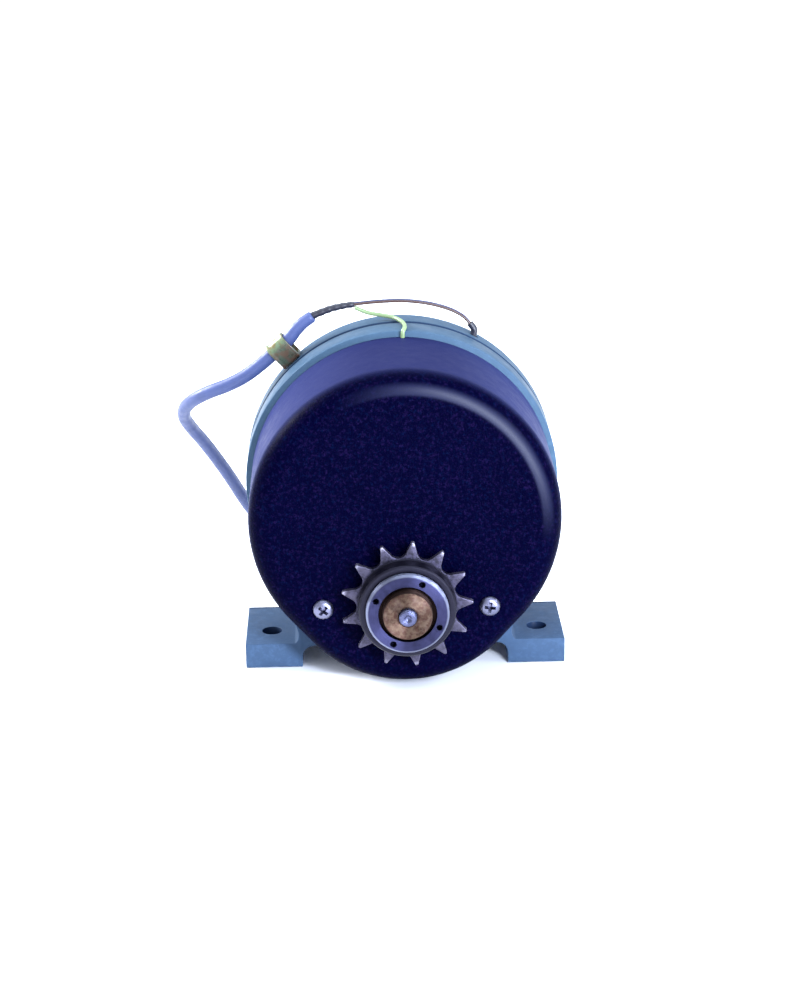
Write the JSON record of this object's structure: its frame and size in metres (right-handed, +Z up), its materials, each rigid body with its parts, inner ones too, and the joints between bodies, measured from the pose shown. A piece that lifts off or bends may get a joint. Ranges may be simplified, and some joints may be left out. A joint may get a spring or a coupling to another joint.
{
  "type": "electric gearmotor",
  "caption": "Foot-mounted permanent-magnet gearmotor with an offset output shaft that drives a freewheel chain sprocket, and a three-core lead.",
  "frame": {"origin": "on the mounting surface, under the middle of the motor without its free lead", "axes": "-Y out of the sprocket end along the output shaft, +Y towards the rear cover, +Z up, X across the feet; the lead leaves on the -X side"},
  "size_m": [0.182, 0.2222, 0.1621],
  "materials": {
    "cover_paint": "dark blue-black enamel with a fine leather grain on the face, satin",
    "blue_paint": "light steel-blue enamel, satin",
    "steel": "turned or plated steel, bright",
    "dark_steel": "case-hardened steel, dull, slightly darkened",
    "brass": "turned brass, bright",
    "copper": "enamelled copper wire and bare copper segments",
    "ferrite": "sintered ferrite, matt dark grey",
    "cast_alloy": "die-cast alloy, as cast with machined seats",
    "carbon": "pressed carbon, matt",
    "phenolic": "brown phenolic board",
    "jacket": "grey-blue flexible PVC, matt",
    "black_plastic": "black flexible plastic, matt",
    "zinc_yellow": "steel with yellow chromated zinc",
    "brown_insulation": "brown PVC",
    "blue_insulation": "blue PVC",
    "earth_insulation": "pale green-yellow PVC"
  },
  "bodies": {
    "housing": {"bearing_plate": "cast_alloy", "blue_wire": "blue_insulation", "brown_wire": "brown_insulation", "brush_ring": "phenolic", "cable_clip": "zinc_yellow", "cable_coil": "jacket", "cable_connector": "black_plastic", "cable_tail": "jacket", "clip_screw": "steel", "cover_screw_left": "steel", "cover_screw_right": "steel", "earth_wire": "earth_insulation", "entry_sleeve": "black_plastic", "foot_left": "blue_paint", "foot_right": "blue_paint", "gear_cover": "cover_paint", "lead_jacket": "jacket", "lead_sleeve": "black_plastic", "lower_brush_spring": "steel", "magnet_1": "ferrite", "magnet_2": "ferrite", "magnet_3": "ferrite", "magnet_4": "ferrite", "motor_cable": "jacket", "motor_housing": "blue_paint", "output_front_bearing_outer_ring": "steel", "output_rear_bearing_outer_ring": "steel", "rear_cover": "blue_paint", "rotor_front_bearing_outer_ring": "steel", "rotor_rear_bearing_outer_ring": "steel", "through_bolt_1": "steel", "through_bolt_2": "steel", "through_bolt_3": "steel", "through_bolt_4": "steel", "upper_brush_spring": "steel", "yoke": "steel"},
    "rotor": {"armature_core": "dark_steel", "armature_winding": "copper", "commutator": "copper", "rotor_front_bearing_inner_ring": "steel", "rotor_pinion": "steel", "rotor_rear_bearing_inner_ring": "steel", "rotor_shaft": "steel"},
    "output": {"freewheel_core": "dark_steel", "freewheel_lock_ring": "steel", "gear_key": "steel", "hub_adaptor": "brass", "output_front_bearing_inner_ring": "steel", "output_gear": "dark_steel", "output_rear_bearing_inner_ring": "steel", "output_shaft": "steel", "shaft_circlip": "steel"},
    "sprocket": {"freewheel_sprocket": "dark_steel"},
    "pawl_1": {"pawl_1": "steel"},
    "pawl_2": {"pawl_2": "steel"},
    "upper_brush": {"upper_brush": "carbon"},
    "lower_brush": {"lower_brush": "carbon"}
  },
  "joints": [
    {"name": "rotor_spin", "type": "hinge", "parent": "housing", "child": "rotor", "pos_m": [0, 0, 0.08], "axis": [0, 1, 0], "continuous": true},
    {"name": "output_spin", "type": "hinge", "parent": "housing", "child": "output", "pos_m": [0, 0, 0.046], "axis": [0, 1, 0], "continuous": true},
    {"name": "sprocket_overrun", "type": "hinge", "parent": "output", "child": "sprocket", "pos_m": [0, 0, 0.046], "axis": [0, 1, 0], "continuous": true},
    {"name": "pawl_1_tilt", "type": "hinge", "parent": "output", "child": "pawl_1", "pos_m": [0.01569, -0.0445, 0.05171], "axis": [0, 1, 0], "range_deg": [-12, 0], "stiffness_Nm_per_rad": 0.0003, "springref_deg": 11.46},
    {"name": "pawl_2_tilt", "type": "hinge", "parent": "output", "child": "pawl_2", "pos_m": [-0.01569, -0.0445, 0.04029], "axis": [0, 1, 0], "range_deg": [-12, 0], "stiffness_Nm_per_rad": 0.0003, "springref_deg": 11.46},
    {"name": "upper_brush_slide", "type": "slide", "parent": "housing", "child": "upper_brush", "axis": [0, 0, 1], "range_m": [0, 0.004], "stiffness_N_per_m": 120, "springref_m": -0.012, "deforming": ["upper_brush_spring"]},
    {"name": "lower_brush_slide", "type": "slide", "parent": "housing", "child": "lower_brush", "axis": [0, 0, -1], "range_m": [0, 0.004], "stiffness_N_per_m": 120, "springref_m": -0.012, "deforming": ["lower_brush_spring"]}
  ],
  "couplings": [
    {"joint": "output_spin", "follows": "rotor_spin", "ratio": -0.21429}
  ]
}
